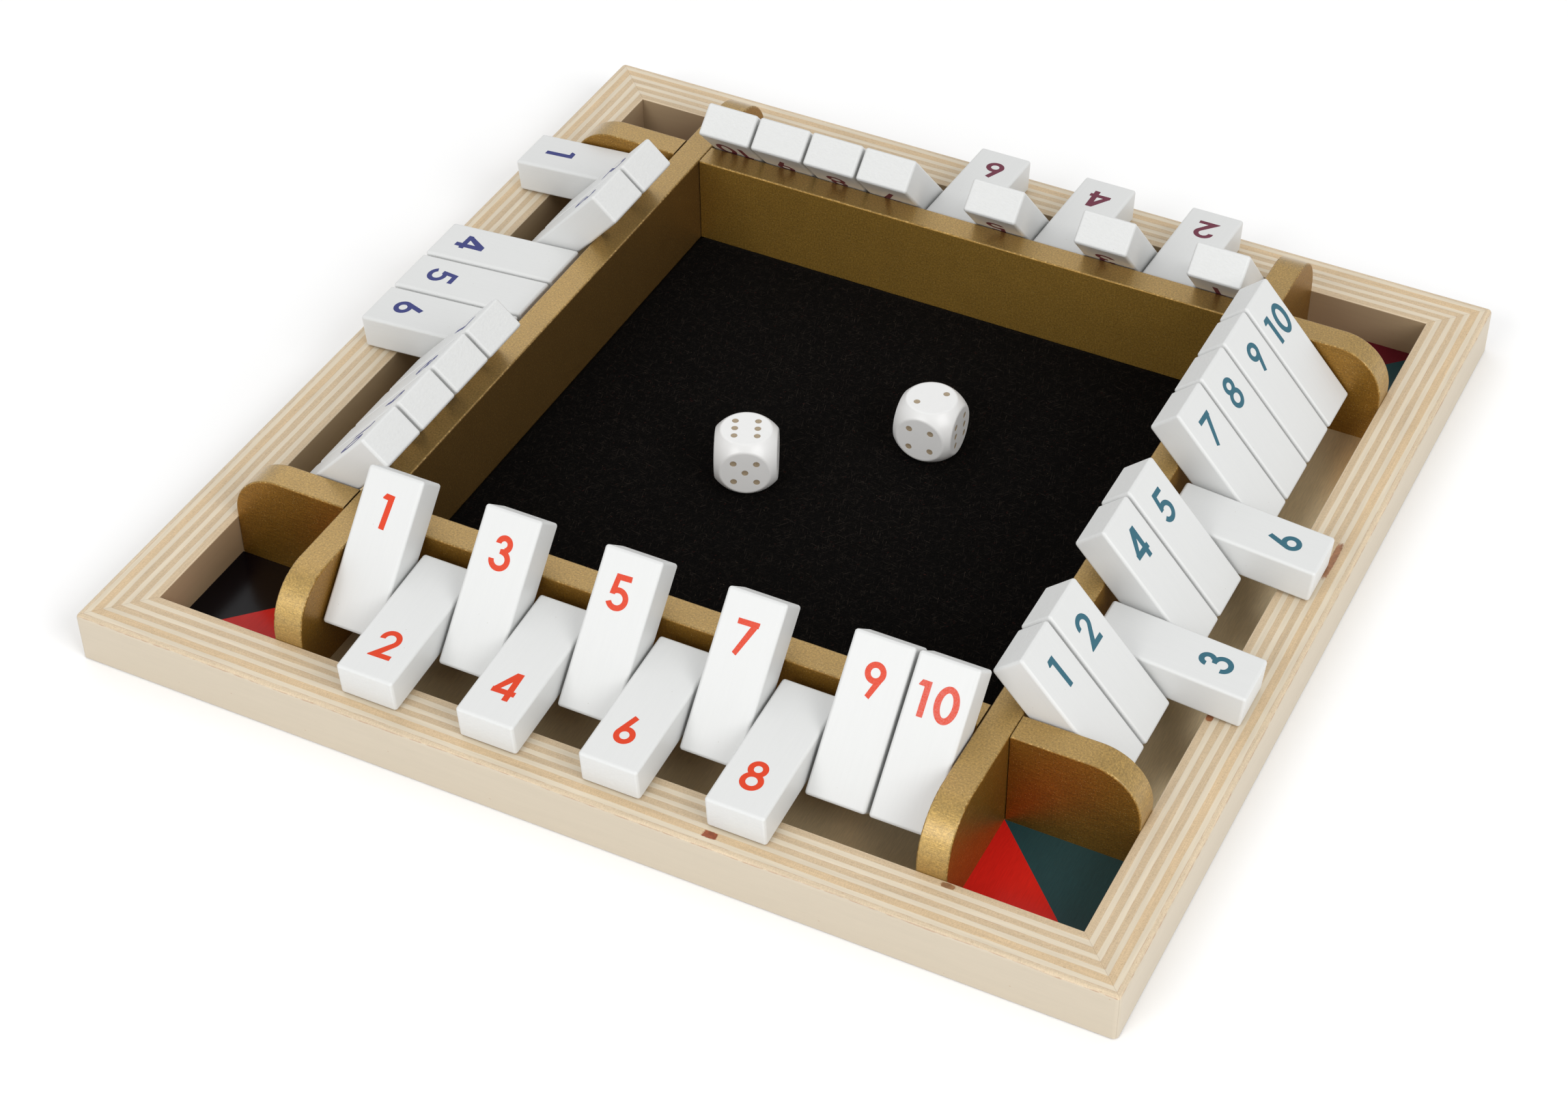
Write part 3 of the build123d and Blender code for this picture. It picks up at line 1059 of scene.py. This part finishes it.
def make_ink(side, faintness):
    material, tree, place, surface = new_material(f"ink_{side}_{round(faintness * 100)}")
    worn = step_between(tree, noise(tree, place, 3.0, Detail=4.0, Roughness=0.7), 0.36, 0.68)
    thin = grain_noise(tree, place, scale=0.5, detail=2.0, strength=0.7)
    missing = times(tree, times(tree, worn, thin), faintness + LEAST_WEAR)
    missing = calc(tree, "MULTIPLY_ADD", faintness, EVEN_WEAR, missing, clamp=True)
    color = blend_colors(tree, missing, INK_COLORS[side], TILE_WHITE)
    wire(surface, Base_Color=color, Roughness=0.5, Specular_IOR_Level=0.2)
    return material


def ink_for(side, number):
    """The ink of a print. Prints that are as faint as each other share it."""
    faintness = FAINT_PRINTS.get((side, number), 0.0)
    if (side, faintness) not in ink_of:
        ink_of[side, faintness] = make_ink(side, faintness)
    return ink_of[side, faintness]


print("faint prints:", len(FAINT_PRINTS))

# %% [markdown]
# ## Print every tile
#
# A tile's hinge in the frame gives the middle of its bore and the way the rod runs, and its lean
# gives the rest. The print is copied to both broad faces: on the one that shows while the tile
# stands, the figure's head points to the free end, and on the one that shows while it lies down,
# to the rod. Hand work is never exact, so each print is a little off its place. In the front row,
# which is seen best, the places are those of the picture.

# %% Print
FACE_MIDDLE = {"standing": 18.9, "lying": 18.5}
PRINT_SHIFT = 0.3
PRINT_TILT = 1.8
# How far the front prints sit from the middle, across and up in millimetres, and their turn.
FRONT_PRINTS = {
    1: (-0.25, 0.3, -3.6), 2: (0.1, 0.05, 1.2), 3: (-0.1, -0.15, 0.0), 4: (0.0, 0.5, 1.6),
    5: (-0.8, 0.05, 2.4), 6: (-0.4, 0.3, 0.6), 7: (0.0, -0.55, 1.8), 8: (-0.15, 0.05, 2.2),
    9: (0.25, -0.1, 0.0), 10: (-0.05, -0.2, 0.0),
}

hinges = {joint["child"]: joint for joint in frame["joints"]}
hand = random.Random(40)


def tile_matrix(side, number):
    """The place and lean of a tile: its bore is the x axis and its free end lies towards +y."""
    pivot = Vector(hinges[tile_name(side, number)]["pos_m"])
    turn = Matrix.Rotation(quarter_turn(side), 4, "Z")
    lean = Matrix.Rotation(math.radians(LEAN[tile_state(side, number)]), 4, "X")
    return Matrix.Translation(pivot) @ turn @ lean @ Matrix.Scale(MM, 4)


def print_place(side, number):
    """Across, up and turn of one print."""
    drawn = (hand.uniform(-PRINT_SHIFT, PRINT_SHIFT), hand.uniform(-PRINT_SHIFT, PRINT_SHIFT),
             hand.uniform(-PRINT_TILT, PRINT_TILT))
    return FRONT_PRINTS[number] if side == "front" else drawn


def film_matrix(face, across, up, degrees):
    """Carries a flat figure onto one broad face of a tile, as a film of ink."""
    middle = Matrix.Translation((0, FACE_MIDDLE[face], 0))
    flip = Matrix.Rotation(math.pi if face == "lying" else 0.0, 4, "X")
    shift = Matrix.Translation((across, up, TILE_THICKNESS / 2 - INK_BELOW))
    tilt = Matrix.Rotation(math.radians(degrees), 4, "Z")
    thin = Matrix.Diagonal((1, 1, (INK_ABOVE + INK_BELOW) / RAW_HEIGHT, 1))
    return middle @ flip @ shift @ tilt @ thin


def print_tile(side, number):
    films = join_copies(f"{side}_number_{number:02d}", figures[number], [
        tile_matrix(side, number) @ film_matrix(face, *print_place(side, number))
        for face in FACE_MIDDLE])
    films.data.materials.clear()
    films.data.materials.append(ink_for(side, number))
    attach(films, tile_name(side, number))
    return films


prints = [print_tile(side, number) for side in SIDES for number in range(1, TILE_COUNT + 1)]
for figure in figures.values():
    bpy.data.objects.remove(figure)
print(len(prints), "tiles printed on both faces")

# %% [markdown]
# ## Pips
#
# The CAD dice have a shallow round hole for every pip. Each hole gets a floor of bare wood that
# dips towards its middle, as a drill leaves it. One pip is modelled, by insetting a disc and
# pushing its middle down, and copied to every hole of both dice.

# %% Pips
PIP_RADIUS = 0.88
PIP_FLOOR = -0.24
PIP_RIM = -0.05
PIP_DIP = 0.09
PIP_PITCH = 3.05
PIP_SIDES = 24
PIPS = {
    1: [(0, 0)],
    2: [(-1, -1), (1, 1)],
    3: [(-1, -1), (0, 0), (1, 1)],
    4: [(-1, -1), (-1, 1), (1, -1), (1, 1)],
    5: [(-1, -1), (-1, 1), (0, 0), (1, -1), (1, 1)],
    6: [(-1, -1), (-1, 0), (-1, 1), (1, -1), (1, 0), (1, 1)],
}
DIE_FACES = {
    "top": ((0, 0, 1), (1, 0, 0)), "bottom": ((0, 0, -1), (1, 0, 0)),
    "front": ((0, -1, 0), (1, 0, 0)), "back": ((0, 1, 0), (-1, 0, 0)),
    "right": ((1, 0, 0), (0, 1, 0)), "left": ((-1, 0, 0), (0, -1, 0)),
}
DICE = {
    "die_left": {"top": 6, "bottom": 1, "front": 5, "back": 2, "right": 3, "left": 4},
    "die_right": {"top": 2, "bottom": 5, "front": 4, "back": 3, "right": 6, "left": 1},
}
DICE_TURN = {"die_left": 24.0, "die_right": 2.5}
DIE_HALF = 8.4
# A pip dips in three steps, each a share of its depth and of its radius. Its rim is darker.
PIP_STEPS = (0.35, 0.4, 0.25)
PIP_STEP_WIDTH = 0.3
DARK_RIM_BEYOND = 0.75


def make_pip():
    """One pip in millimetres, its rim just under z = 0."""
    bpy.ops.mesh.primitive_circle_add(vertices=PIP_SIDES, radius=PIP_RADIUS, fill_type="NGON",
                                      location=(0, 0, PIP_FLOOR))
    pip = bpy.context.object
    bpy.ops.object.transform_apply(location=True)
    start_edit(pip)
    extrude_up(PIP_RIM - PIP_FLOOR)
    for share in PIP_STEPS:
        bpy.ops.mesh.inset(thickness=PIP_RADIUS * PIP_STEP_WIDTH, depth=0)
        bpy.ops.transform.translate(value=(0, 0, -PIP_DIP * share))
    end_edit()
    for polygon in pip.data.polygons:
        if polygon.center.xy.length > PIP_RADIUS * DARK_RIM_BEYOND:
            polygon.material_index = 1
    return pip


def fill_pips(die, pip):
    low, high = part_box(die)
    turn = Matrix.Rotation(math.radians(DICE_TURN[die]), 4, "Z")
    stand = Matrix.Translation((low + high) / 2) @ turn @ Matrix.Scale(MM, 4)
    places = []
    for face, (out, across) in DIE_FACES.items():
        out, across = Vector(out), Vector(across)
        up = out.cross(across)
        lean = Matrix((across, up, out)).transposed().to_4x4()
        for u, v in PIPS[DICE[die][face]]:
            at = out * DIE_HALF + across * (u * PIP_PITCH) + up * (v * PIP_PITCH)
            places.append(stand @ Matrix.Translation(at) @ lean)
    pips = join_copies(f"{die}_pips", pip, places)
    pips.data.materials.append(bare_wood)
    pips.data.materials.append(dark_rim_wood)
    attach(pips, die)
    return pips


pip = make_pip()
for die in DICE:
    filled = fill_pips(die, pip)
    print(filled.name, len(filled.data.polygons), "faces")
bpy.data.objects.remove(pip)

# %% [markdown]
# ## Felt
#
# The felt is a sheet of pressed wool, 2 mm thick, glued on the floor of the tray. It isn't quite
# flat: the nap stands up unevenly and the cut edge is a little lower. A fine grid is roughened
# by a clouds texture, its border is pushed down, and Solidify gives it its thickness.

# %% Felt sheet
FELT_CELLS = 120
FELT_THICKNESS = 1.85
NAP_DEPTH = 0.14
NAP_SIZE = 3.5
EDGE_DROP = 0.35
BORDER_WIDTH = 0.1
FELT_BLACK = rgb(6, 5, 4.5)
FIBRE_GREY = rgb(56, 49, 43)
FLECK_BROWN = rgb(64, 30, 26)
LINT = rgb(120, 104, 84)


def make_felt_cloth():
    low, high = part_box("tray_felt")
    width = high.x - low.x
    top = high.z - NAP_DEPTH * MM / 2
    bpy.ops.mesh.primitive_grid_add(x_subdivisions=FELT_CELLS, y_subdivisions=FELT_CELLS,
                                    size=width, location=(0, 0, top))
    cloth = bpy.context.object
    cloth.name = "felt_cloth"
    bpy.ops.object.transform_apply(location=True)
    nap = bpy.data.textures.new("felt_nap", "CLOUDS")
    nap.noise_scale = NAP_SIZE * MM
    nap.noise_depth = 3
    rough = cloth.modifiers.new("nap", "DISPLACE")
    rough.texture = nap
    rough.texture_coords = "LOCAL"
    rough.direction = "Z"
    rough.strength = NAP_DEPTH * MM
    rough.mid_level = 0.5
    bpy.ops.object.modifier_apply(modifier=rough.name)
    border = width / 2 - BORDER_WIDTH * MM
    for vertex in cloth.data.vertices:
        if max(abs(vertex.co.x), abs(vertex.co.y)) > border:
            vertex.co.z -= EDGE_DROP * MM
    body = cloth.modifiers.new("thickness", "SOLIDIFY")
    body.thickness = FELT_THICKNESS * MM
    body.offset = -1
    bpy.ops.object.modifier_apply(modifier=body.name)
    bpy.ops.object.shade_smooth()
    return cloth, width


def make_felt_finish():
    material, tree, place, surface = new_material("black_felt")
    cloud = grain_noise(tree, place, scale=0.09, detail=3.0, strength=0.5)
    fuzz = grain_noise(tree, place, scale=2.4, detail=5.0, strength=1.8)
    color = shade(tree, FELT_BLACK, times(tree, cloud, fuzz))

    # Fibres of three directions lie over each other, with brown ones and lint among them.
    fibres = 0.0
    for degrees in (12, 74, 131):
        lie = stretched(tree, place, (0.35, 4.5, 1.0), (0, 0, math.radians(degrees)))
        strands = noise(tree, lie, Detail=3.0, Distortion=0.6)
        fibres = calc(tree, "ADD", fibres, step_between(tree, strands, 0.6, 0.72))
    fibres = calc(tree, "MINIMUM", fibres, 1.0)
    color = lay_over(tree, color, fibres, 0.5, FIBRE_GREY)
    brown = fleck_mask(tree, place, (0.5, 2.6, 0.5), (0, 0, 2.2), scale=0.9, radius=0.16,
                       amount=0.12)
    color = lay_over(tree, color, brown, 0.6, FLECK_BROWN)
    lint = fleck_mask(tree, place, (0.5, 1.6, 0.5), (0, 0, 0.7), scale=0.6, radius=0.05)
    color = lay_over(tree, color, lint, 0.5, LINT)
    wire(surface, Base_Color=color, Roughness=0.95, Normal=bump(tree, fuzz, 0.25, 0.8),
         Specular_IOR_Level=0.03, Sheen_Weight=0.01, Sheen_Roughness=0.5)
    return material


felt_cloth, felt_width = make_felt_cloth()
felt_cloth.data.materials.append(make_felt_finish())
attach(felt_cloth, "case")
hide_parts("tray_felt")
print(f"felt {felt_width / MM:.1f} mm square, {len(felt_cloth.data.polygons)} faces")
